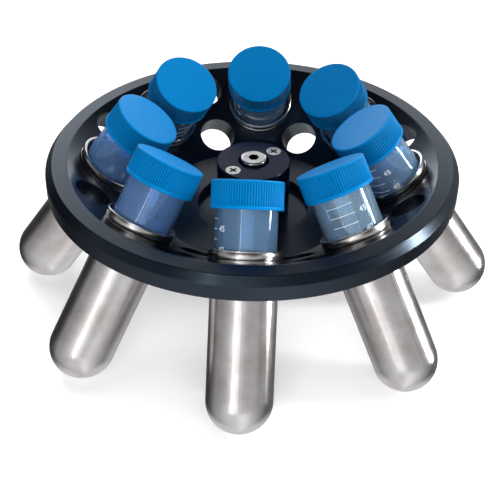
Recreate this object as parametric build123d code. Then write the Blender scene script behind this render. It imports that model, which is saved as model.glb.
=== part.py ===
from build123d import *
import math
import os

# Fixed-angle rotor for eight 50 ml tubes: a turned aluminium dish, eight steel
# sleeves that hang in it at 35 degrees, a capped tube in each sleeve, and a hub
# with a captive screw that holds the rotor down on a centrifuge spindle.
# Millimetres, +Z up.  The origin is on the rotor axis, in the plane of the
# eight sleeve ends that the rotor stands on.  Place 1 faces -Y and the places
# run counter-clockwise seen from above.

# ---------------------------------------------------------------- places
PLACES = 8
TILT = 35.0                      # tube axis from the vertical
PITCH_RADIUS = 65.4              # where a tube axis crosses the rim-top plane

# All heights along a tube axis are from the rim-top plane, up is positive.
SEAT = -16.0                     # underside of the sleeve collar
SLEEVE_END = -95.75
SLEEVE_RADIUS = 15.85
SLEEVE_WALL = 0.8
COLLAR_RADIUS = 17.55
COLLAR_TOP = -10.7
LIP_HEIGHT = 0.45                # flared lip on top of the collar
FOOT_RING = 0.6                  # ring that the collar stands on

TUBE_RADIUS = 14.6
TUBE_WALL = 1.0
TUBE_TIP = -93.2
TUBE_TIP_RADIUS = 4.3
TUBE_CONE = 15.5                 # height of the conical bottom
TUBE_MOUTH = 19.6

CAP_RADIUS = 17.0
CAP_BAND_RADIUS = 17.15
CAP_BAND = 1.7                   # height of the plain band under the grip
CAP_BOTTOM = 8.05
CAP_TOP = 21.5
CAP_TOP_WALL = 1.6
CAP_BORE_RADIUS = 15.7
CAP_SEAL_RADIUS = 13.2
CAP_SEAL_DEPTH = 2.2

PAD_GAP = 0.15                   # cushion to sleeve and to tube tip
PAD_TOP = -80.0

# ---------------------------------------------------------------- dish
RIM_RADIUS = 105.0
RIM_TOP_RADIUS = 101.6           # outer edge of the flat top land
RIM_FACET = 3.9                  # height of the bevel under the top land
RIM_HEIGHT = 12.0
RIM_BREAK = 0.6
LIP_RADIUS = 93.9                # inner edge of the flat top land
WALL = 13.0                      # thickness of the conical wall
FLOOR_RADIUS = 49.6
TROUGH_RADIUS = 29.0
TROUGH_DEPTH = 4.0
SLEEVE_BORE_RADIUS = 16.15
SEAT_RADIUS = 18.1
HOLE_RADIUS = 9.6
INNER_HOLES_AT = 60.2            # radii of the two rings of through holes
OUTER_HOLES_AT = 83.7

# ---------------------------------------------------------------- hub
HUB_RADIUS = 18.8
HUB_TOP = -4.6
PLATE_THICKNESS = 5.0
BOSS_RADIUS = 24.0
BOSS_BOTTOM = -60.0
SPINDLE_RADIUS = 7.0             # locating bore for a 14 mm spindle
SPINDLE_SEAT_TOP = -42.0
RELIEF_RADIUS = 7.6              # clearance above the locating bore
RELIEF_TOP = -28.0
KEY_WIDTH = 5.0
KEY_DEPTH = 4.0
RING_POCKET_RADIUS = 9.5
RING_POCKET_BOTTOM = -18.0

SCREW_RADIUS = 4.0               # M8 captive screw
SCREW_HEAD_RADIUS = 6.75
SCREW_HEAD_HEIGHT = 4.4
SCREW_HEX = 5.0                  # across flats
SCREW_HEX_DEPTH = 3.6
SCREW_TIP = -40.0
HEAD_RECESS_RADIUS = 8.0
HEAD_RECESS_DEPTH = 2.6
SHANK_CLEARANCE = 0.35
RING_RADIUS = 7.4
RING_THICKNESS = 1.0
GROOVE_RADIUS = 3.4
GROOVE_TOP = -11.0

PLATE_SCREW_AT = 14.0            # radius of the two M4 plate screws
PLATE_SCREW_ANGLE = 45.0
PLATE_SCREW_RADIUS = 2.0
PLATE_SCREW_HEAD = 3.85
PLATE_SCREW_SINK = 4.2            # seat round the head, with a straight wall
PLATE_SCREW_SINK_DEPTH = 1.0
CROSS_LENGTH = 4.4
CROSS_WIDTH = 1.15
PLATE_SCREW_LENGTH = 14.0

# ---------------------------------------------------------------- derived
STAND = (SLEEVE_RADIUS - (SLEEVE_END + SLEEVE_RADIUS) * math.cos(math.radians(TILT)))
SLOPE = math.tan(math.radians(TILT))
FLOOR = -(LIP_RADIUS - FLOOR_RADIUS) * SLOPE
UNDER_DROP = WALL / math.cos(math.radians(TILT))
FLOOR_UNDER = FLOOR - WALL


def cone_height(radius):
    """Height of the upper face of the conical wall at a radius."""
    return (radius - LIP_RADIUS) * SLOPE


def underside_radius(height):
    """Radius at which the lower face of the conical wall has this height."""
    return LIP_RADIUS + (height + UNDER_DROP) / SLOPE


def place(index):
    """Frame of tube place 1 to 8: origin on the rim-top plane, Z up the tube."""
    azimuth = -90 + (index - 1) * 360 / PLACES
    return Rot(0, 0, azimuth) * Pos(PITCH_RADIUS, 0, 0) * Rot(0, -TILT, 0)


def square_to_cone(radius, azimuth):
    """Frame on the conical wall, Z square to it."""
    spot = Pos(radius, 0, cone_height(radius))
    return Rot(0, 0, azimuth) * spot * Rot(0, -TILT, 0)


def turned(outline):
    """Solid of revolution about Z from a closed (radius, height) outline."""
    return revolve(Plane.XZ * make_face(outline), Axis.Z)


def turned_points(points):
    return turned(Polyline(*points, close=True))


def upright(radius, bottom, top):
    """Cylinder on the local Z axis between two heights."""
    body = Cylinder(radius, top - bottom, align=(Align.CENTER, Align.CENTER, Align.MIN))
    return Pos(0, 0, bottom) * body


# ---------------------------------------------------------------- rotor body
def dish_outline():
    hub_face = HUB_TOP - PLATE_THICKNESS
    under_rim = underside_radius(-RIM_HEIGHT)
    under_floor = underside_radius(FLOOR_UNDER)
    trough_floor = FLOOR - TROUGH_DEPTH
    corners = [
        (LIP_RADIUS, 0),
        (RIM_TOP_RADIUS, 0),
        (RIM_RADIUS, -RIM_FACET),
        (RIM_RADIUS, -RIM_HEIGHT + RIM_BREAK),
        (RIM_RADIUS - RIM_BREAK, -RIM_HEIGHT),
        (under_rim, -RIM_HEIGHT),
        (under_floor, FLOOR_UNDER),
        (BOSS_RADIUS, FLOOR_UNDER),
        (BOSS_RADIUS, BOSS_BOTTOM + 1.0),
        (BOSS_RADIUS - 1.0, BOSS_BOTTOM),
        (SPINDLE_RADIUS + 0.8, BOSS_BOTTOM),
        (SPINDLE_RADIUS, BOSS_BOTTOM + 0.8),
        (SPINDLE_RADIUS, SPINDLE_SEAT_TOP),
        (RELIEF_RADIUS, SPINDLE_SEAT_TOP),
        (RELIEF_RADIUS, RELIEF_TOP),
        (SCREW_RADIUS + SHANK_CLEARANCE, RELIEF_TOP),
        (SCREW_RADIUS + SHANK_CLEARANCE, RING_POCKET_BOTTOM),
        (RING_POCKET_RADIUS, RING_POCKET_BOTTOM),
        (RING_POCKET_RADIUS, hub_face),
        (HUB_RADIUS, hub_face),
        (HUB_RADIUS, trough_floor),
        (TROUGH_RADIUS, trough_floor),
        (TROUGH_RADIUS, FLOOR),
        (FLOOR_RADIUS, FLOOR),
    ]
    return make_face(Polyline(*corners, close=True))


def soften(face, corner, radius):
    """Round the outline corner nearest to a (radius, height) point."""
    return fillet(face.vertices().sort_by_distance(corner)[0], radius)


def make_rotor_body():
    face = dish_outline()
    face = soften(face, (LIP_RADIUS, 0), 1.2)
    face = soften(face, (RIM_TOP_RADIUS, 0), 0.5)
    face = soften(face, (RIM_RADIUS, -RIM_FACET), 0.5)
    face = soften(face, (TROUGH_RADIUS, FLOOR), 0.6)
    face = soften(face, (BOSS_RADIUS, FLOOR_UNDER), 3.0)
    body = revolve(Plane.XZ * face, Axis.Z)
    for index in range(1, PLACES + 1):
        body -= place(index) * upright(SLEEVE_BORE_RADIUS, -70, 10)
        body -= place(index) * upright(SEAT_RADIUS, SEAT, 10)
    for step in range(PLACES):
        azimuth = (step + 0.5) * 360 / PLACES
        for radius in (INNER_HOLES_AT, OUTER_HOLES_AT):
            body -= square_to_cone(radius, azimuth) * upright(HOLE_RADIUS, -WALL - 6, 4)
    body -= Pos(0, 0, BOSS_BOTTOM) * Box(KEY_WIDTH, 3 * BOSS_RADIUS, 2 * KEY_DEPTH)
    for azimuth in (PLATE_SCREW_ANGLE, PLATE_SCREW_ANGLE + 180):
        spot = Rot(0, 0, azimuth) * Pos(PLATE_SCREW_AT, 0, 0)
        body -= spot * upright(PLATE_SCREW_RADIUS + 0.1, HUB_TOP - PLATE_SCREW_LENGTH - 2, 0)
    return body


# ---------------------------------------------------------------- hub
def make_hub_plate():
    bottom = HUB_TOP - PLATE_THICKNESS
    plate = chamfer(upright(HUB_RADIUS, bottom, HUB_TOP).edges().group_by(Axis.Z)[-1], 0.4)
    plate -= upright(HEAD_RECESS_RADIUS, HUB_TOP - HEAD_RECESS_DEPTH, 0)
    plate -= upright(SCREW_RADIUS + SHANK_CLEARANCE, bottom - 1, 0)
    for azimuth in (PLATE_SCREW_ANGLE, PLATE_SCREW_ANGLE + 180):
        spot = Rot(0, 0, azimuth) * Pos(PLATE_SCREW_AT, 0, 0)
        plate -= spot * countersink(PLATE_SCREW_SINK, PLATE_SCREW_RADIUS + 0.3, bottom - 1)
    return plate


def countersink(head_radius, shank_radius, bottom):
    """Straight-walled seat at the plate top over a cone that runs down into a straight hole."""
    cone_top = HUB_TOP - PLATE_SCREW_SINK_DEPTH
    depth = head_radius - shank_radius
    return turned_points([
        (0, bottom),
        (shank_radius, bottom),
        (shank_radius, cone_top - depth),
        (head_radius, cone_top),
        (head_radius, HUB_TOP + 1),
        (0, HUB_TOP + 1),
    ])


def make_plate_screws():
    """The two M4 cross-recessed countersunk screws of the hub plate."""
    top = HUB_TOP - 0.1
    rim = PLATE_SCREW_SINK_DEPTH + PLATE_SCREW_SINK - PLATE_SCREW_HEAD - 0.15
    cone = PLATE_SCREW_HEAD - PLATE_SCREW_RADIUS
    screw = turned_points([
        (0, top),
        (PLATE_SCREW_HEAD, top),
        (PLATE_SCREW_HEAD, top - rim),
        (PLATE_SCREW_RADIUS, top - rim - cone),
        (PLATE_SCREW_RADIUS, HUB_TOP - PLATE_SCREW_LENGTH),
        (0, HUB_TOP - PLATE_SCREW_LENGTH),
    ])
    for turn in (0, 90):
        screw -= Pos(0, 0, top) * Rot(0, 0, turn) * Box(CROSS_LENGTH, CROSS_WIDTH, 3)
    pair = []
    for azimuth in (PLATE_SCREW_ANGLE, PLATE_SCREW_ANGLE + 180):
        pair.append(Rot(0, 0, azimuth) * Pos(PLATE_SCREW_AT, 0, 0) * screw)
    return Compound(children=pair)


def make_lock_screw():
    """Captive M8 screw: flat head with a rounded edge, hex socket and retaining-ring groove."""
    under_head = HUB_TOP - HEAD_RECESS_DEPTH + 0.1
    top = under_head + SCREW_HEAD_HEIGHT
    face = make_face(Polyline(
        (0, top),
        (SCREW_HEAD_RADIUS, top),
        (SCREW_HEAD_RADIUS, under_head),
        (SCREW_RADIUS, under_head),
        (SCREW_RADIUS, GROOVE_TOP),
        (GROOVE_RADIUS, GROOVE_TOP),
        (GROOVE_RADIUS, GROOVE_TOP - RING_THICKNESS - 0.2),
        (SCREW_RADIUS, GROOVE_TOP - RING_THICKNESS - 0.2),
        (SCREW_RADIUS, SCREW_TIP + 1.0),
        (SCREW_RADIUS - 1.0, SCREW_TIP),
        (0, SCREW_TIP),
        close=True,
    ))
    face = soften(face, (SCREW_HEAD_RADIUS, top), 0.95)
    screw = revolve(Plane.XZ * face, Axis.Z)
    socket = extrude(RegularPolygon(SCREW_HEX / 2, 6, major_radius=False), SCREW_HEX)
    return screw - Pos(0, 0, top - SCREW_HEX_DEPTH) * socket


def make_lock_ring():
    """Retaining ring clipped under the plate, with its open gap."""
    bottom = GROOVE_TOP - RING_THICKNESS - 0.1
    ring = upright(RING_RADIUS, bottom, bottom + RING_THICKNESS)
    ring -= upright(GROOVE_RADIUS + 0.05, bottom - 1, 0)
    return ring - Pos(RING_RADIUS, 0, bottom) * Box(2 * RING_RADIUS, 4.8, 4)


# ---------------------------------------------------------------- tube places
def make_sleeve():
    """Steel sleeve: round bottom, foot ring, plain barrelled collar and a thin flared lip."""
    dome = SLEEVE_END + SLEEVE_RADIUS
    bore = SLEEVE_RADIUS - SLEEVE_WALL
    band_bottom = SEAT + FOOT_RING + 0.4
    band_top = COLLAR_TOP - LIP_HEIGHT - 0.2
    band = COLLAR_RADIUS - 0.35
    outline = CenterArc((0, dome), SLEEVE_RADIUS, -90, 90)
    outline += Polyline(
        (SLEEVE_RADIUS, dome),
        (SLEEVE_RADIUS, SEAT),
        (band, SEAT),
        (band, SEAT + FOOT_RING),
        (band - 0.5, SEAT + FOOT_RING + 0.1),
        (band - 0.5, band_bottom - 0.1),
        (band - 0.15, band_bottom),
    )
    outline += ThreePointArc(
        (band - 0.15, band_bottom),
        (band + 0.1, (band_bottom + band_top) / 2),
        (band - 0.15, band_top),
    )
    outline += Polyline(
        (band - 0.15, band_top),
        (COLLAR_RADIUS, COLLAR_TOP - LIP_HEIGHT),
        (COLLAR_RADIUS, COLLAR_TOP - 0.15),
        (COLLAR_RADIUS - 0.2, COLLAR_TOP),
        (COLLAR_RADIUS - 1.1, COLLAR_TOP),
        (bore, COLLAR_TOP - 3.0),
        (bore, dome),
    )
    outline += CenterArc((0, dome), bore, -90, 90)
    outline += Line((0, SLEEVE_END), (0, SLEEVE_END + SLEEVE_WALL))
    return turned(outline)


def make_pad():
    """Rubber cushion between the conical tube tip and the round sleeve end."""
    dome = SLEEVE_END + SLEEVE_RADIUS
    outside = SLEEVE_RADIUS - SLEEVE_WALL - PAD_GAP
    rise = (PAD_TOP - TUBE_TIP) / TUBE_CONE
    mouth = TUBE_TIP_RADIUS + rise * (TUBE_RADIUS - TUBE_TIP_RADIUS) + PAD_GAP
    bowl = Pos(0, 0, dome) * Sphere(outside) & upright(outside, SLEEVE_END, PAD_TOP)
    seat = turned_points([
        (0, TUBE_TIP - PAD_GAP),
        (TUBE_TIP_RADIUS + PAD_GAP, TUBE_TIP - PAD_GAP),
        (mouth, PAD_TOP),
        (mouth, PAD_TOP + 1),
        (0, PAD_TOP + 1),
    ])
    return bowl - seat


def make_tube():
    """Open 50 ml tube with a conical bottom."""
    cone_top = TUBE_TIP + TUBE_CONE
    bore = TUBE_RADIUS - TUBE_WALL
    return turned_points([
        (0, TUBE_TIP),
        (TUBE_TIP_RADIUS, TUBE_TIP),
        (TUBE_RADIUS, cone_top),
        (TUBE_RADIUS, TUBE_MOUTH),
        (bore, TUBE_MOUTH),
        (bore, cone_top + 0.4),
        (TUBE_TIP_RADIUS - 0.9, TUBE_TIP + 1.2),
        (0, TUBE_TIP + 1.2),
    ])


def make_cap():
    """Screw cap: grip wall, plain lower band and an inner sealing ring."""
    ceiling = CAP_TOP - CAP_TOP_WALL
    face = make_face(Polyline(
        (0, CAP_TOP),
        (CAP_RADIUS, CAP_TOP),
        (CAP_RADIUS, CAP_BOTTOM + CAP_BAND),
        (CAP_BAND_RADIUS, CAP_BOTTOM + CAP_BAND),
        (CAP_BAND_RADIUS, CAP_BOTTOM),
        (CAP_BORE_RADIUS, CAP_BOTTOM),
        (CAP_BORE_RADIUS, ceiling),
        (CAP_SEAL_RADIUS, ceiling),
        (CAP_SEAL_RADIUS, ceiling - CAP_SEAL_DEPTH),
        (CAP_SEAL_RADIUS - 0.8, ceiling - CAP_SEAL_DEPTH),
        (CAP_SEAL_RADIUS - 0.8, ceiling),
        (0, ceiling),
        close=True,
    ))
    face = soften(face, (CAP_RADIUS, CAP_TOP), 1.0)
    return revolve(Plane.XZ * face, Axis.Z)


# ---------------------------------------------------------------- output
def save(shape, name):
    export_step(Pos(0, 0, STAND) * shape, f"parts/{name}.step")


def main():
    os.makedirs("parts", exist_ok=True)
    save(make_rotor_body(), "rotor_body")
    save(make_hub_plate(), "hub_plate")
    save(make_plate_screws(), "plate_screws")
    save(make_lock_screw(), "lock_screw")
    save(make_lock_ring(), "lock_ring")
    fittings = {
        "sleeve": make_sleeve(),
        "pad": make_pad(),
        "tube": make_tube(),
        "cap": make_cap(),
    }
    for name, shape in fittings.items():
        for index in range(1, PLACES + 1):
            save(place(index) * shape, f"{name}_{index}")


main()
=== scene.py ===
"""Caps, graduations, finishes and a small studio for an eight-place fixed-angle rotor."""
import math

import bpy
from bpy.props import FloatProperty, FloatVectorProperty, IntProperty, PointerProperty
from mathutils import Matrix, Vector


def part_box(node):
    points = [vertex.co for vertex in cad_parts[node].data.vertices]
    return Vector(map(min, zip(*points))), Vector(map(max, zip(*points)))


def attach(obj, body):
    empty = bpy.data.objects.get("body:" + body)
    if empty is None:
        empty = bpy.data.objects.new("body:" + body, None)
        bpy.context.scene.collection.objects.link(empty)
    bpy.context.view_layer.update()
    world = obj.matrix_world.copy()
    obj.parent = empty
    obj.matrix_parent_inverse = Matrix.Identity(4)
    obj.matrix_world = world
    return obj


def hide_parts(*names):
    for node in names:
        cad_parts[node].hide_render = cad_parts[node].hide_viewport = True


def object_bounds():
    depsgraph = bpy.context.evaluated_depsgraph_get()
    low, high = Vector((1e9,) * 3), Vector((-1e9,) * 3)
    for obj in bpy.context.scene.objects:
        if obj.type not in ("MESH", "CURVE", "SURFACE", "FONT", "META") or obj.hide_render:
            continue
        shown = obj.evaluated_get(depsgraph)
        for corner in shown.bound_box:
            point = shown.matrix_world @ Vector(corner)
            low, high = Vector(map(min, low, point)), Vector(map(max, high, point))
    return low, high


bl_info = {
    "name": "Fixed-angle rotor finishes",
    "version": (1, 0, 0),
    "blender": (4, 5, 0),
    "location": "View3D > Sidebar > Rotor",
    "description": "Screw caps, graduations, finishes and studio for a fixed-angle rotor",
    "category": "Object",
}

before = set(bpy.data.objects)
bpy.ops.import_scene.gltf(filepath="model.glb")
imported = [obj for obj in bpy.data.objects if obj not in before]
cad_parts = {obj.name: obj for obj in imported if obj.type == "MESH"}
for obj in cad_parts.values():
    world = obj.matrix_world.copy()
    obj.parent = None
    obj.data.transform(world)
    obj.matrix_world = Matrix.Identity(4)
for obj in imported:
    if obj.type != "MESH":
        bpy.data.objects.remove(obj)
CAD_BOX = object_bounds()

# ---------------------------------------------------------------- places, in metres
MM = 0.001
PLACES = 8
TILT = math.radians(35)
PITCH_RADIUS = 65.4 * MM
RIM_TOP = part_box("rotor_body")[1].z

# Heights along a tube axis are from the rim-top plane.
CAP_BOTTOM = 8.05 * MM
CAP_TOP = 21.5 * MM
CAP_RADIUS = 17.0 * MM
CAP_BAND_RADIUS = 17.15 * MM
CAP_BAND = 1.7 * MM
CAP_BORE_RADIUS = 15.7 * MM
CAP_TOP_WALL = 1.6 * MM
CAP_MOUTH_CHAMFER = (0.3 * MM, 0.4 * MM)      # across the mouth, and up into it
CAP_BAND_ROUND = 0.25 * MM
TUBE_RADIUS = 14.6 * MM

SOCKET_REACH = 2.95 * MM              # reach of the painted recess shade: just past the corners of the captive screw's socket
RECESS_SHADE_EDGE = 0.15 * MM               # depth in a screw's recess where the painted shade begins

MARK_45_HEIGHT = -1.15 * MM           # height of the 45 ml line
MARK_RISE = 1.9 * MM                  # one millilitre
MARKS = [2.5 * step for step in range(2, 20)]
MARK_TURNS = (-63, -25, -99, 35, 110, -150, 245, 215)    # line ends, degrees round each tube

# Shares of the plain colour, piece by piece. Part of the difference stands in for uneven light.
CAP_SHADES = (1.05, 1.0, 0.95, 0.7, 0.7, 0.8, 0.9, 1.0)
TUBE_TINTS = {
    1: (0.74, 0.83, 0.87), 2: (1.2, 1.1, 0.98), 7: (0.72, 0.84, 1.02), 8: (0.7, 0.82, 1.0)}


def place(index):
    """Frame of tube place 1 to 8: origin in the rim-top plane, Z up the tube, X outward."""
    azimuth = math.radians(-90 + (index - 1) * 360 / PLACES)
    turn = Matrix.Rotation(azimuth, 4, "Z")
    lean = Matrix.Rotation(-TILT, 4, "Y")
    return turn @ Matrix.Translation((PITCH_RADIUS, 0, RIM_TOP)) @ lean


# ---------------------------------------------------------------- sizes and colours
class RotorCapSettings(bpy.types.PropertyGroup):
    """Screw caps."""
    ribs: IntProperty(name="Ribs", description="Grip ribs round a cap", default=84, min=12)
    rib_depth: FloatProperty(
        name="Rib depth", description="Depth of the grooves between the ribs",
        default=0.5 * MM, unit="LENGTH", subtype="DISTANCE", precision=5)
    edge_radius: FloatProperty(
        name="Edge radius", description="Rounding of the top edge",
        default=0.7 * MM, unit="LENGTH", subtype="DISTANCE", precision=5)
    colour: FloatVectorProperty(
        name="Colour", description="Blue of the moulded caps",
        default=(0.0, 0.155, 0.41), size=3, min=0, max=1, subtype="COLOR")


class RotorMarkSettings(bpy.types.PropertyGroup):
    """Printed graduations."""
    line_length: FloatProperty(
        name="Line length", description="Length of a graduation line round the tube",
        default=13.0 * MM, unit="LENGTH", subtype="DISTANCE", precision=5)
    line_width: FloatProperty(
        name="Line width", description="Width of a graduation line",
        default=0.16 * MM, unit="LENGTH", subtype="DISTANCE", precision=5)
    digit_height: FloatProperty(
        name="Digit size", description="Size of the numbers",
        default=3.9 * MM, unit="LENGTH", subtype="DISTANCE", precision=5)
    digit_gap: FloatProperty(
        name="Digit gap", description="From the line ends to the middle of the numbers",
        default=4.1 * MM, unit="LENGTH", subtype="DISTANCE", precision=5)
    ink_thickness: FloatProperty(
        name="Ink thickness", description="How far the print stands proud of the tube",
        default=0.045 * MM, unit="LENGTH", subtype="DISTANCE", precision=6)
    colour: FloatVectorProperty(
        name="Ink", description="Colour of the printed marks",
        default=(0.86, 0.89, 0.92), size=3, min=0, max=1, subtype="COLOR")


class RotorFinishSettings(bpy.types.PropertyGroup):
    """Colours of the turned, drawn and moulded parts."""
    anodised: FloatVectorProperty(
        name="Anodised dish", description="Dye colour of the black anodising",
        default=(0.0025, 0.0036, 0.0065), size=3, min=0, max=1, subtype="COLOR")
    sheen: FloatVectorProperty(
        name="Anodised sheen", description="Tint of the reflections in the anodising",
        default=(0.55, 0.76, 1.0), size=3, min=0, max=1, subtype="COLOR")
    stainless: FloatVectorProperty(
        name="Stainless sleeve", description="Reflection colour of the drawn sleeves",
        default=(0.69, 0.665, 0.66), size=3, min=0, max=1, subtype="COLOR")
    bright_steel: FloatVectorProperty(
        name="Bright steel", description="Reflection colour of the hub screws",
        default=(0.74, 0.73, 0.71), size=3, min=0, max=1, subtype="COLOR")
    clear_plastic: FloatVectorProperty(
        name="Tube plastic", description="Tint of the translucent tubes",
        default=(0.35, 0.56, 0.81), size=3, min=0, max=1, subtype="COLOR")
    rubber: FloatVectorProperty(
        name="Cushion rubber", description="Colour of the rubber cushions",
        default=(0.025, 0.025, 0.027), size=3, min=0, max=1, subtype="COLOR")


class RotorStageSettings(bpy.types.PropertyGroup):
    """Camera, floor and lamps."""
    camera_place: FloatVectorProperty(
        name="Camera", description="Where the camera stands",
        default=(0.02043, -0.46883, 0.37194), size=3, unit="LENGTH", subtype="XYZ")
    camera_turn: FloatVectorProperty(
        name="Camera turn", description="Rotation of the camera",
        default=tuple(math.radians(a) for a in (54.2534, -1.7452, 1.6268)),
        size=3, unit="ROTATION", subtype="EULER")
    lens: FloatProperty(
        name="Lens", description="Focal length on a 36 mm sensor, in millimetres", default=77.55)
    shift: FloatVectorProperty(
        name="Shift", description="Lens shift that frames the rotor",
        default=(-0.07, -0.044), size=2)
    floor_colour: FloatVectorProperty(
        name="Floor", description="Colour of the table top",
        default=(0.75, 0.75, 0.75), size=3, min=0, max=1, subtype="COLOR")
    floor_lift: FloatProperty(
        name="Floor lift", description="Extra brightness of the floor, seen straight or in metal",
        default=0.38, min=0)


# ---------------------------------------------------------------- modelling by hand
def only(piece):
    """Select and activate one object, and nothing else."""
    bpy.ops.object.select_all(action="DESELECT")
    piece.select_set(True)
    bpy.context.view_layer.objects.active = piece


def settle(piece, matrix, name):
    """Bring a piece to its place and put that place in its mesh."""
    only(piece)
    piece.matrix_world = matrix
    bpy.ops.object.transform_apply(location=True, rotation=True, scale=True)
    piece.name = name
    piece.data.name = name
    return piece


def duplicate(piece):
    """A copy with its own mesh."""
    only(piece)
    bpy.ops.object.duplicate()
    return bpy.context.object


def paint(piece, material):
    """Give a piece one material all over."""
    if not piece.data.materials:
        piece.data.materials.append(material)
    for slot in piece.material_slots:
        slot.material = material


def grow_ring(reach, radius, rise):
    """Extrude the selected face from radius reach to radius, and up by rise. Returns radius."""
    bpy.ops.mesh.extrude_region()
    share = radius / reach
    bpy.ops.transform.resize(value=(share, share, 1), center_override=(0, 0, 0))
    bpy.ops.transform.translate(value=(0, 0, rise))
    return radius


# ---------------------------------------------------------------- materials
class Nodes:
    """A node tree, and short ways to add to it."""

    def __init__(self, tree):
        self.tree = tree

    def add(self, kind, **settings):
        node = self.tree.nodes.new(kind)
        for name, value in settings.items():
            setattr(node, name, value)
        return node

    def join(self, output, target):
        self.tree.links.new(output, target)

    def number(self, operation, first, second):
        """A sum on two numbers or outputs."""
        node = self.add("ShaderNodeMath", operation=operation)
        for value, socket in zip((first, second), node.inputs):
            if isinstance(value, (int, float)):
                socket.default_value = value
            else:
                self.join(value, socket)
        return node.outputs[0]


class Finish(Nodes):
    """A new material with its shader."""

    def __init__(self, name, **sockets):
        self.material = bpy.data.materials.new(name)
        self.material.use_nodes = True
        super().__init__(self.material.node_tree)
        self.shader = self.tree.nodes["Principled BSDF"]
        for socket, value in sockets.items():
            self.shader.inputs[socket.replace("_", " ")].default_value = value

    def spots(self, frame_of=None):
        """Object coordinates, brought into a place's own frame where one is given."""
        spots = self.add("ShaderNodeTexCoord").outputs["Object"]
        if frame_of is None:
            return spots
        back = frame_of.inverted()
        mapping = self.add("ShaderNodeMapping")
        mapping.inputs["Location"].default_value = back.translation
        mapping.inputs["Rotation"].default_value = back.to_euler("XYZ")
        self.join(spots, mapping.inputs["Vector"])
        return mapping.outputs["Vector"]

    def stretch(self, spots, scale):
        """Scale coordinates, to draw a pattern out along one axis."""
        mapping = self.add("ShaderNodeMapping")
        mapping.inputs["Scale"].default_value = scale
        self.join(spots, mapping.inputs["Vector"])
        return mapping.outputs["Vector"]

    def noise(self, spots, scale, detail=2.0, roughness=0.5):
        node = self.add("ShaderNodeTexNoise")
        node.inputs["Scale"].default_value = scale
        node.inputs["Detail"].default_value = detail
        node.inputs["Roughness"].default_value = roughness
        self.join(spots, node.inputs["Vector"])
        return node.outputs["Fac"]

    def lines(self, value, scale, detail=3.0):
        """Uneven lines along one number, such as a radius or a height."""
        node = self.add("ShaderNodeTexNoise", noise_dimensions="1D")
        node.inputs["Scale"].default_value = scale
        node.inputs["Detail"].default_value = detail
        self.join(value, node.inputs["W"])
        return node.outputs["Fac"]

    def between(self, value, low, high, start=0.3, end=0.7):
        """Spread a pattern between two values."""
        node = self.add("ShaderNodeMapRange")
        node.inputs["From Min"].default_value = start
        node.inputs["From Max"].default_value = end
        node.inputs["To Min"].default_value = low
        node.inputs["To Max"].default_value = high
        self.join(value, node.inputs["Value"])
        return node.outputs["Result"]

    def shade(self, value, colour, dark, start=0.3, end=0.7, tint=(1, 1, 1)):
        """Base colour that goes from dark times the tinted colour to the colour."""
        ramp = self.add("ShaderNodeValToRGB")
        low, high = ramp.color_ramp.elements
        low.position = start
        low.color = (*[dark * part * share for part, share in zip(colour, tint)], 1)
        high.position = end
        high.color = (*colour, 1)
        self.join(value, ramp.inputs["Fac"])
        self.join(ramp.outputs["Color"], self.shader.inputs["Base Color"])
        return ramp

    def roughen(self, value, low, high):
        self.join(self.between(value, low, high), self.shader.inputs["Roughness"])

    def bump(self, value, strength, distance, under=None):
        node = self.add("ShaderNodeBump")
        node.inputs["Strength"].default_value = strength
        node.inputs["Distance"].default_value = distance
        self.join(value, node.inputs["Height"])
        if under is not None:
            self.join(under, node.inputs["Normal"])
        self.join(node.outputs["Normal"], self.shader.inputs["Normal"])
        return node.outputs["Normal"]

    def radius_and_height(self, spots):
        """Distance from the Z axis, and height, of the given coordinates."""
        split = self.add("ShaderNodeSeparateXYZ")
        self.join(spots, split.inputs["Vector"])
        flat = self.add("ShaderNodeCombineXYZ")
        self.join(split.outputs["X"], flat.inputs["X"])
        self.join(split.outputs["Y"], flat.inputs["Y"])
        length = self.add("ShaderNodeVectorMath", operation="LENGTH")
        self.join(flat.outputs["Vector"], length.inputs[0])
        return length.outputs["Value"], split.outputs["Z"]


def anodised_finish(name, colour, sheen, index):
    """Black anodising over lathe-turned aluminium: fine rings round the axis and soft wear."""
    finish = Finish(name, IOR=index)
    finish.shader.inputs["Specular Tint"].default_value = (*sheen, 1)
    spots = finish.spots()
    radius, height = finish.radius_and_height(spots)
    track = finish.number("ADD", radius, finish.number("MULTIPLY", height, 0.7))
    rings = finish.lines(track, 5200.0)
    cloud = finish.noise(spots, 28.0, 4.0, 0.6)
    finish.shade(cloud, colour, 0.6)
    finish.roughen(finish.number("MULTIPLY", finish.number("ADD", rings, cloud), 0.5), 0.17, 0.28)
    grain = finish.noise(spots, 5200.0, 2.0)
    soft = finish.bump(grain, 0.06, 0.00002)
    finish.bump(rings, 0.14, 0.00002, soft)
    return finish.material


def stainless_finish(index, colour):
    """Satin stainless, polished round the sleeve: fine hoops, faint cloudiness and a few scuffs."""
    finish = Finish(f"brushed_stainless_{index}", Metallic=1.0)
    spots = finish.spots(place(index))
    hoops = finish.noise(finish.stretch(spots, (60, 60, 5200)), 1.0, 3.0, 0.6)
    cloud = finish.noise(spots, 55.0, 3.0, 0.55)
    finish.shade(cloud, colour, 0.82, 0.35, 0.6, (1.0, 0.95, 0.92))
    scuffs = finish.noise(finish.stretch(spots, (900, 900, 150)), 1.0, 4.0, 0.7)
    blend = finish.number("MULTIPLY", finish.number("ADD", scuffs, cloud), 0.5)
    finish.roughen(blend, 0.19, 0.29)
    soft = finish.bump(scuffs, 0.03, 0.00003)
    finish.bump(hoops, 0.08, 0.00003, soft)
    return finish.material


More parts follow.
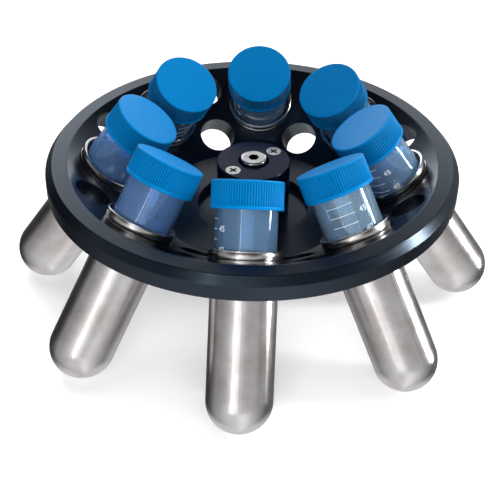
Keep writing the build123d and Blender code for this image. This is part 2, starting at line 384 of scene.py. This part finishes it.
def steel_finish(name, colour, rough, top, reach):
    """Plated screw steel, with painted shade in the drive recess.

    The recess is what lies within reach of the rotor's axis and below the top of the head.
    """
    finish = Finish(name, Metallic=1.0)
    spots = finish.spots()
    radius, height = finish.radius_and_height(spots)
    outside = finish.number("GREATER_THAN", radius, reach)
    above = finish.number("GREATER_THAN", height, top - RECESS_SHADE_EDGE)
    unshaded = finish.number("MAXIMUM", outside, above)
    scratches = finish.noise(spots, 2600.0, 3.0, 0.6)
    ramp = finish.shade(finish.number("MULTIPLY", finish.noise(spots, 350.0), unshaded), colour, 0.8)
    # Near-black painted shade in the recess, where the pattern is cut to nothing.
    ramp.color_ramp.elements.new(0.05).color = (0.03, 0.018, 0.013, 1)
    finish.roughen(scratches, rough, rough + 0.12)
    finish.bump(scratches, 0.08, 0.00002)
    return finish.material


def clear_finish(index, colour):
    """Translucent moulded plastic: a faint haze, slight waves along the wall, fine specks."""
    finish = Finish(f"clear_plastic_{index}", IOR=1.49, Transmission_Weight=0.83)
    finish.shader.inputs["Specular Tint"].default_value = (0.85, 0.93, 1.0, 1)
    spots = finish.spots(place(index))
    waves = finish.noise(finish.stretch(spots, (130, 130, 22)), 1.0, 2.0)
    finish.shade(waves, colour, 0.93)
    specks = finish.noise(spots, 900.0, 3.0, 0.7)
    finish.roughen(specks, 0.015, 0.035)
    soft = finish.bump(waves, 0.04, 0.0003)
    finish.bump(specks, 0.005, 0.00003, soft)
    return finish.material


def rubber_finish(colour):
    """Matt moulded rubber."""
    finish = Finish("cushion_rubber")
    spots = finish.spots()
    grain = finish.noise(spots, 1800.0, 4.0, 0.7)
    finish.shade(grain, colour, 0.7)
    finish.roughen(grain, 0.62, 0.8)
    finish.bump(grain, 0.2, 0.0001)
    return finish.material


def cap_finish(index, colour):
    """Blue moulded polyolefin: satin and slightly translucent, with painted shade between the ribs.
    """
    finish = Finish(f"blue_cap_plastic_{index}", IOR=1.28, Subsurface_Weight=0.12,
                    Subsurface_Scale=0.001)
    finish.shader.inputs["Subsurface Radius"].default_value = (0.15, 0.5, 1.0)
    finish.shader.inputs["Specular Tint"].default_value = (0.15, 0.55, 1.0, 1)
    spots = finish.spots(place(index))
    radius, height = finish.radius_and_height(spots)
    # Painted shade: full colour on the rib crests and the top face, darker down in the grooves.
    rib_shading = finish.between(radius, 0.0, 1.0, CAP_RADIUS - 0.42 * MM, CAP_RADIUS - 0.05 * MM)
    top_face = finish.number("GREATER_THAN", height, CAP_TOP - 0.2 * MM)
    rib_shading = finish.number("MAXIMUM", rib_shading, top_face)
    cloud = finish.between(finish.noise(spots, 90.0, 3.0, 0.55), 0.82, 1.0)
    finish.shade(finish.number("MULTIPLY", rib_shading, cloud), colour, 0.58, 0.0, 0.95)
    grain = finish.noise(spots, 2600.0, 3.0, 0.6)
    finish.roughen(grain, 0.32, 0.44)
    finish.bump(grain, 0.1, 0.00004)
    return finish.material


def ink_finish(colour):
    """White screen-printed ink, thinner in places."""
    finish = Finish("graduation_ink")
    spots = finish.spots()
    patches = finish.noise(spots, 1500.0, 3.0, 0.6)
    finish.shade(patches, colour, 0.8, 0.25, 0.5)
    finish.roughen(patches, 0.45, 0.6)
    finish.bump(patches, 0.1, 0.00003)
    return finish.material


# ---------------------------------------------------------------- pieces
class ROTOR_OT_dish(bpy.types.Operator):
    """Finish the turned dish and its hub plate in black anodising"""
    bl_idname = "rotor.dish"
    bl_label = "Dish and hub plate"

    def execute(self, context):
        settings = context.scene.rotor_finish
        bluer = [part * share for part, share in zip(settings.anodised, (1, 1.2, 2.5))]
        for name, dye, index in (
                ("rotor_body", settings.anodised, 1.58), ("hub_plate", bluer, 1.3)):
            material = anodised_finish(f"anodised_{name}", dye, settings.sheen, index)
            paint(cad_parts[name], material)
        return {"FINISHED"}


class ROTOR_OT_screws(bpy.types.Operator):
    """Finish the captive screw, its retaining ring and the plate screws"""
    bl_idname = "rotor.screws"
    bl_label = "Hub screws"

    def execute(self, context):
        colour = context.scene.rotor_finish.bright_steel
        darker = [0.45 * part for part in colour]
        # Reach of the painted shade: 1 m darkens all of a plate screw below its top face, cross and
        # head side; 0 leaves the lock ring without it.
        pieces = (("lock_screw", colour, 0.16, SOCKET_REACH), ("plate_screws", colour, 0.16, 1),
                  ("lock_ring", darker, 0.3, 0))
        for name, tone, rough, reach in pieces:
            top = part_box(name)[1].z
            paint(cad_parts[name], steel_finish(f"{name}_steel", tone, rough, top, reach))
        return {"FINISHED"}


class ROTOR_OT_sleeves(bpy.types.Operator):
    """Finish the drawn sleeves in stainless steel and their cushions in rubber"""
    bl_idname = "rotor.sleeves"
    bl_label = "Sleeves and cushions"

    def execute(self, context):
        settings = context.scene.rotor_finish
        rubber = rubber_finish(settings.rubber)
        for index in range(1, PLACES + 1):
            paint(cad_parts[f"sleeve_{index}"], stainless_finish(index, settings.stainless))
            paint(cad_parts[f"pad_{index}"], rubber)
        return {"FINISHED"}


class ROTOR_OT_tubes(bpy.types.Operator):
    """Finish the tubes in translucent plastic"""
    bl_idname = "rotor.tubes"
    bl_label = "Tubes"

    def execute(self, context):
        settings = context.scene.rotor_finish
        for index in range(1, PLACES + 1):
            tint = TUBE_TINTS.get(index, (1, 1, 1))
            tint = [part * share for part, share in zip(settings.clear_plastic, tint)]
            material = clear_finish(index, tint)
            paint(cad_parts[f"tube_{index}"], material)
        return {"FINISHED"}


class ROTOR_OT_marks(bpy.types.Operator):
    """Print the graduation lines and numbers round each tube"""
    bl_idname = "rotor.marks"
    bl_label = "Graduations"

    def draw_lines(self, settings):
        """All the lines in one flat mesh, in the XZ plane, that end at X = 0."""
        bpy.ops.object.select_all(action="DESELECT")
        upright = (math.pi / 2, 0, 0)
        bpy.ops.mesh.primitive_grid_add(x_subdivisions=2, y_subdivisions=2, size=MM)
        bpy.ops.object.mode_set(mode="EDIT")
        bpy.ops.mesh.select_all(action="SELECT")
        bpy.ops.mesh.delete(type="VERT")
        for volume in MARKS:
            height = MARK_45_HEIGHT + (volume - 45) * MARK_RISE
            middle = (-settings.line_length / 2, 0, height)
            bpy.ops.mesh.select_all(action="DESELECT")
            bpy.ops.mesh.primitive_grid_add(
                x_subdivisions=18, y_subdivisions=1, size=1, location=middle, rotation=upright)
            bpy.ops.transform.resize(
                value=(settings.line_length, 1, settings.line_width), center_override=middle)
        bpy.ops.object.mode_set(mode="OBJECT")
        return bpy.context.object

    def draw_number(self, settings, volume):
        """One number as a flat mesh beside its line."""
        height = MARK_45_HEIGHT + (volume - 45) * MARK_RISE
        bpy.ops.object.select_all(action="DESELECT")
        bpy.ops.object.text_add(
            location=(settings.digit_gap, 0, height), rotation=(math.pi / 2, 0, 0))
        text = bpy.context.object
        text.data.body = f"{volume:.0f}"
        text.data.size = settings.digit_height
        text.data.align_x = "CENTER"
        text.data.align_y = "CENTER"
        text.data.offset = -0.012 * settings.digit_height
        bpy.ops.object.convert(target="MESH")
        number = bpy.context.object
        bpy.ops.object.mode_set(mode="EDIT")
        bpy.ops.mesh.select_all(action="SELECT")
        bpy.ops.mesh.quads_convert_to_tris()
        bpy.ops.mesh.subdivide(number_cuts=1)
        bpy.ops.object.mode_set(mode="OBJECT")
        return number

    def execute(self, context):
        settings = context.scene.rotor_marks
        flat = self.draw_lines(settings)
        numbers = [self.draw_number(settings, v) for v in MARKS if v % 5 == 0]
        only(flat)
        for number in numbers:
            number.select_set(True)
        bpy.ops.object.join()
        flat = context.object
        bpy.ops.object.transform_apply(location=True, rotation=True, scale=True)
        bpy.ops.object.mode_set(mode="EDIT")
        bpy.ops.mesh.select_all(action="SELECT")
        bpy.ops.mesh.remove_doubles(threshold=1e-6)
        bpy.ops.mesh.normals_make_consistent(inside=False)
        bpy.ops.object.mode_set(mode="OBJECT")
        ink = flat.modifiers.new("ink", "SOLIDIFY")
        ink.thickness = 2 * settings.ink_thickness
        ink.offset = 0
        bpy.ops.object.modifier_apply(modifier=ink.name)
        wrap = flat.modifiers.new("wrap", "SIMPLE_DEFORM")
        wrap.deform_method = "BEND"
        wrap.deform_axis = "Z"
        wrap.angle = flat.dimensions.x / TUBE_RADIUS
        bpy.ops.object.modifier_apply(modifier=wrap.name)
        settle(flat, Matrix.Translation((0, -TUBE_RADIUS, 0)), "graduations")
        material = ink_finish(settings.colour)
        for index, degrees in enumerate(MARK_TURNS, 1):
            turn = Matrix.Rotation(math.radians(degrees + 90), 4, "Z")
            scale = settle(duplicate(flat), place(index) @ turn, f"graduations_{index}")
            paint(scale, material)
            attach(scale, "rotor")
        bpy.data.objects.remove(flat)
        return {"FINISHED"}


class ROTOR_OT_caps(bpy.types.Operator):
    """Model the ribbed screw cap and put one on each tube"""
    bl_idname = "rotor.caps"
    bl_label = "Screw caps"
    WAVE = (0.0, 0.25, 0.75, 1.0, 0.75, 0.25)      # groove depth across one rib
    ROUND_STEPS = 5

    def model(self, settings):
        ceiling = CAP_TOP - CAP_TOP_WALL
        bpy.ops.object.select_all(action="DESELECT")
        bpy.ops.mesh.primitive_circle_add(
            vertices=settings.ribs * len(self.WAVE), radius=CAP_BORE_RADIUS,
            fill_type="NGON", location=(0, 0, ceiling))
        bpy.ops.object.transform_apply(location=True)
        cap = bpy.context.object
        bpy.ops.object.mode_set(mode="EDIT")
        bpy.ops.mesh.select_all(action="SELECT")
        edge = settings.edge_radius
        mouth_width, mouth_rise = CAP_MOUTH_CHAMFER
        rib_bottom = CAP_BOTTOM + CAP_BAND
        rib_top = CAP_TOP - edge
        steps = [
            (CAP_BORE_RADIUS, CAP_BOTTOM + mouth_rise),
            (CAP_BORE_RADIUS + mouth_width, CAP_BOTTOM),
            (CAP_BAND_RADIUS - CAP_BAND_ROUND, CAP_BOTTOM),
            (CAP_BAND_RADIUS, CAP_BOTTOM + CAP_BAND_ROUND),
            (CAP_BAND_RADIUS, rib_bottom - 0.15 * MM),
            (CAP_RADIUS, rib_bottom),
            (CAP_RADIUS, rib_bottom + 0.1 * MM),
            (CAP_RADIUS, rib_top - 0.4 * MM),
            (CAP_RADIUS, rib_top),
        ]
        for step in range(1, self.ROUND_STEPS + 1):
            angle = math.pi / 2 * step / self.ROUND_STEPS
            steps.append((CAP_RADIUS - edge + edge * math.cos(angle),
                          rib_top + edge * math.sin(angle)))
        steps.append((CAP_RADIUS - edge - 0.6 * MM, CAP_TOP))
        reach, height = CAP_BORE_RADIUS, ceiling
        for radius, level in steps:
            reach = grow_ring(reach, radius, level - height)
            height = level
        bpy.ops.mesh.select_all(action="SELECT")
        bpy.ops.mesh.normals_make_consistent(inside=False)
        bpy.ops.object.mode_set(mode="OBJECT")
        self.cut_grooves(cap, settings, rib_bottom, rib_top)
        return cap

    def cut_grooves(self, cap, settings, bottom, top):
        """Draw the wall in between the ribs, from the band to the rounded edge."""
        count = settings.ribs * len(self.WAVE)
        low = bottom + 0.05 * MM
        high = top - 0.2 * MM
        only(cap)
        for depth in sorted(set(self.WAVE) - {0.0}):
            bpy.ops.object.mode_set(mode="EDIT")
            bpy.ops.mesh.select_all(action="DESELECT")
            bpy.ops.object.mode_set(mode="OBJECT")
            for vertex in cap.data.vertices:
                x, y, z = vertex.co
                step = round(math.atan2(y, x) / (2 * math.pi) * count) % len(self.WAVE)
                on_wall = low < z < high and math.hypot(x, y) > CAP_RADIUS - 0.01 * MM
                vertex.select = on_wall and self.WAVE[step] == depth
            share = 1 - depth * settings.rib_depth / CAP_RADIUS
            bpy.ops.object.mode_set(mode="EDIT")
            bpy.ops.transform.resize(value=(share, share, 1), center_override=(0, 0, 0))
            bpy.ops.object.mode_set(mode="OBJECT")
        bpy.ops.object.shade_smooth_by_angle(angle=math.radians(50))

    def execute(self, context):
        settings = context.scene.rotor_caps
        master = self.model(settings)
        for index in range(1, PLACES + 1):
            cap = settle(duplicate(master), place(index), f"ribbed_cap_{index}")
            shade = CAP_SHADES[index - 1]
            paint(cap, cap_finish(index, [shade * part for part in settings.colour]))
            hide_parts(f"cap_{index}")
            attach(cap, f"cap_{index}")
        bpy.data.objects.remove(master)
        return {"FINISHED"}


# ---------------------------------------------------------------- stage
BRIGHTEST = 3.0
UNDER_LEVEL = 0.27            # straight down, as a share of the brightest
# Height of a direction, from -1 down to 1 up, over which one level passes into the next.
TABLE_TO_EYE = (-0.2, 0.05)
EYE_TO_HIGH = (0.46, 0.6)
TABLE_TO_UNDER = (-0.6, -0.9)
CEILING_TO_HIGH = (0.8, 0.64)
# Brightness round the room by bearing in degrees, as shares of the brightest.
TABLE_LEVEL = (
    (-180, 0.09), (-150, 0.17), (-120, 0.27), (-100, 0.27), (-76, 0.4), (-45, 0.23), (-20, 0.11),
    (5, 0.035), (45, 0.04), (90, 0.11), (125, 0.035), (150, 0.008), (180, 0.055))
EYE_LEVEL = (
    (-180, 0.12), (-160, 0.13), (-136, 0.22), (-118, 0.38), (-98, 0.5),
    (-85, 0.23), (-66, 0.2), (-32, 0.19), (-24, 0.11), (30, 0.11), (46, 0.15), (60, 0.2),
    (74, 0.85), (86, 0.5), (96, 0.5), (108, 1.0), (116, 0.9), (130, 0.06), (152, 0.005),
    (172, 0.02), (180, 0.12))
HIGH_LEVEL = (
    (-180, 0.013), (-130, 0.03), (-120, 0.34), (-94, 0.5), (-80, 0.28), (-67, 0.1), (-50, 0.02),
    (60, 0.03), (90, 0.03), (104, 0.3), (120, 0.3), (136, 0.03), (180, 0.013))


class Studio(Nodes):
    """The world's light: a room that differs all round."""

    def __init__(self):
        world = bpy.data.worlds.new("studio")
        bpy.context.scene.world = world
        world.use_nodes = True
        super().__init__(world.node_tree)
        self.tree.nodes.clear()

    def band(self, share, stops):
        """Brightness of one level of the room, all the way round."""
        node = self.add("ShaderNodeValToRGB")
        points = node.color_ramp.elements
        for _ in stops[2:]:
            points.new(0.5)
        for point, (bearing, level) in zip(points, stops):
            point.position = (bearing + 180) / 360
            point.color = (level, level, level, 1)
        self.join(share, node.inputs["Fac"])
        return node.outputs["Color"]

    def rise(self, value, start, end):
        """Go from 0 at start to 1 at end."""
        node = self.add("ShaderNodeMapRange", interpolation_type="SMOOTHSTEP")
        node.inputs["From Min"].default_value = start
        node.inputs["From Max"].default_value = end
        self.join(value, node.inputs["Value"])
        return node.outputs["Result"]

    def blend(self, share, first, second):
        node = self.add("ShaderNodeMix", data_type="FLOAT")
        self.join(share, node.inputs["Factor"])
        self.join(first, node.inputs["A"])
        self.join(second, node.inputs["B"])
        return node.outputs["Result"]

    def background(self, colour):
        node = self.add("ShaderNodeBackground")
        node.inputs["Color"].default_value = (*colour, 1)
        return node


def world_light():
    """Light the room, and keep it white where the camera looks past the rotor."""
    studio = Studio()
    sky = studio.add("ShaderNodeTexCoord")
    split = studio.add("ShaderNodeSeparateXYZ")
    studio.join(sky.outputs["Generated"], split.inputs["Vector"])
    height = split.outputs["Z"]
    bearing = studio.number("ARCTAN2", split.outputs["Y"], split.outputs["X"])
    share = studio.number("ADD", studio.number("DIVIDE", bearing, 2 * math.pi), 0.5)
    lower = studio.blend(studio.rise(height, *TABLE_TO_EYE),
                         studio.band(share, TABLE_LEVEL), studio.band(share, EYE_LEVEL))
    straight_down = studio.number("MULTIPLY", studio.rise(height, *TABLE_TO_UNDER), UNDER_LEVEL)
    lower = studio.number("MAXIMUM", lower, straight_down)
    room = studio.blend(studio.rise(height, *EYE_TO_HIGH), lower, studio.band(share, HIGH_LEVEL))
    ceiling = studio.rise(height, *CEILING_TO_HIGH)
    light = studio.background((0.97, 0.98, 1.0))
    strength = studio.number("MULTIPLY", studio.number("MULTIPLY", room, BRIGHTEST), ceiling)
    studio.join(strength, light.inputs["Strength"])
    path = studio.add("ShaderNodeLightPath")
    seen = studio.number(
        "MAXIMUM", path.outputs["Is Camera Ray"], path.outputs["Is Transmission Ray"])
    mix = studio.add("ShaderNodeMixShader")
    studio.join(seen, mix.inputs["Fac"])
    studio.join(light.outputs[0], mix.inputs[1])
    studio.join(studio.background((1, 1, 1)).outputs[0], mix.inputs[2])
    studio.join(mix.outputs[0], studio.add("ShaderNodeOutputWorld").inputs["Surface"])


def floor_finish(colour, lift):
    """White table top that stays white to the camera and keeps its shadows; clear from below."""
    finish = Finish("table_white", Roughness=0.75)
    finish.shader.inputs["Emission Color"].default_value = (1, 1, 1, 1)
    spots = finish.spots()
    cloud = finish.noise(spots, 6.0, 3.0)
    finish.shade(cloud, colour, 0.985)
    path = finish.add("ShaderNodeLightPath")
    seen = finish.number("MAXIMUM", path.outputs["Is Camera Ray"], path.outputs["Is Glossy Ray"])
    seen = finish.number("MAXIMUM", seen, path.outputs["Is Transmission Ray"])
    finish.join(finish.number("MULTIPLY", seen, lift), finish.shader.inputs["Emission Strength"])
    side = finish.add("ShaderNodeNewGeometry")
    clear = finish.add("ShaderNodeBsdfTransparent")
    mix = finish.add("ShaderNodeMixShader")
    finish.join(side.outputs["Backfacing"], mix.inputs["Fac"])
    finish.join(finish.shader.outputs["BSDF"], mix.inputs[1])
    finish.join(clear.outputs["BSDF"], mix.inputs[2])
    finish.join(mix.outputs["Shader"], finish.tree.nodes["Material Output"].inputs["Surface"])
    return finish.material


# Name, bearing and rise in degrees, distance, size, power, colour, and whether gloss shows it.
LAMPS = (
    ("right_softbox", 4, 14, 1.3, (0.14, 1.15), 22, (1.0, 1.0, 1.0), True),
    ("front_strip", -110, 20, 1.3, (0.05, 1.1), 1.2, (1.0, 0.98, 0.97), True),
    ("overhead", 90, 66, 1.9, (2.2, 2.2), 52, (1.0, 1.0, 1.0), False),
    ("front_fill", -85, 24, 0.8, (0.7, 0.4), 5, (1.0, 1.0, 1.0), False),
)


def softbox(name, azimuth, elevation, distance, size, power, colour, glossy):
    """A rectangular lamp at a bearing from the rotor, turned towards it."""
    bearing = math.radians(azimuth)
    rise = math.radians(elevation)
    away = Vector((math.cos(bearing) * math.cos(rise), math.sin(bearing) * math.cos(rise),
                   math.sin(rise)))
    centre = Vector((0, 0, 0.5 * RIM_TOP))
    bpy.ops.object.light_add(type="AREA", location=centre + away * distance)
    lamp = bpy.context.object
    lamp.name = name
    lamp.rotation_euler = away.to_track_quat("Z", "Y").to_euler()
    lamp.data.shape = "RECTANGLE"
    lamp.data.size, lamp.data.size_y = size
    lamp.data.energy = power
    lamp.data.color = colour
    lamp.visible_camera = False
    lamp.visible_glossy = glossy


class ROTOR_OT_stage(bpy.types.Operator):
    """Set up the floor, the lamps and the camera"""
    bl_idname = "rotor.stage"
    bl_label = "Stage"

    def execute(self, context):
        settings = context.scene.rotor_stage
        context.scene.view_settings.view_transform = "Standard"
        world_light()
        bpy.ops.object.select_all(action="DESELECT")
        bpy.ops.mesh.primitive_plane_add(size=8, location=(0, 0, CAD_BOX[0].z))
        table = context.object
        table.name = "table_top"
        paint(table, floor_finish(settings.floor_colour, settings.floor_lift))
        table.visible_glossy = False
        for lamp in LAMPS:
            softbox(*lamp)
        bpy.ops.object.camera_add(location=settings.camera_place, rotation=settings.camera_turn)
        camera = context.object
        camera.name = "camera"
        camera.data.lens = settings.lens
        camera.data.sensor_width = 36
        camera.data.shift_x, camera.data.shift_y = settings.shift
        camera.data.clip_start = 0.01
        context.scene.camera = camera
        return {"FINISHED"}


OPERATORS = (ROTOR_OT_dish, ROTOR_OT_screws, ROTOR_OT_sleeves, ROTOR_OT_tubes,
             ROTOR_OT_marks, ROTOR_OT_caps, ROTOR_OT_stage)


class VIEW3D_PT_rotor(bpy.types.Panel):
    """Operators and settings of the rotor"""
    bl_label = "Fixed-angle rotor"
    bl_idname = "VIEW3D_PT_rotor"
    bl_space_type = "VIEW_3D"
    bl_region_type = "UI"
    bl_category = "Rotor"

    def draw(self, context):
        column = self.layout.column()
        for operator in OPERATORS:
            column.operator(operator.bl_idname)
        for group in (context.scene.rotor_caps, context.scene.rotor_marks,
                      context.scene.rotor_finish, context.scene.rotor_stage):
            box = self.layout.box()
            for name in group.__annotations__:
                box.prop(group, name)


SETTINGS = {
    "rotor_caps": RotorCapSettings,
    "rotor_marks": RotorMarkSettings,
    "rotor_finish": RotorFinishSettings,
    "rotor_stage": RotorStageSettings,
}


def register():
    for kind in (*SETTINGS.values(), *OPERATORS, VIEW3D_PT_rotor):
        bpy.utils.register_class(kind)
    for name, kind in SETTINGS.items():
        setattr(bpy.types.Scene, name, PointerProperty(type=kind))


def unregister():
    for name in SETTINGS:
        delattr(bpy.types.Scene, name)
    for kind in reversed((*SETTINGS.values(), *OPERATORS, VIEW3D_PT_rotor)):
        bpy.utils.unregister_class(kind)


def main():
    register()
    bpy.ops.rotor.dish()
    bpy.ops.rotor.screws()
    bpy.ops.rotor.sleeves()
    bpy.ops.rotor.tubes()
    bpy.ops.rotor.marks()
    bpy.ops.rotor.caps()
    bpy.ops.rotor.stage()


if __name__ == "__main__":
    main()
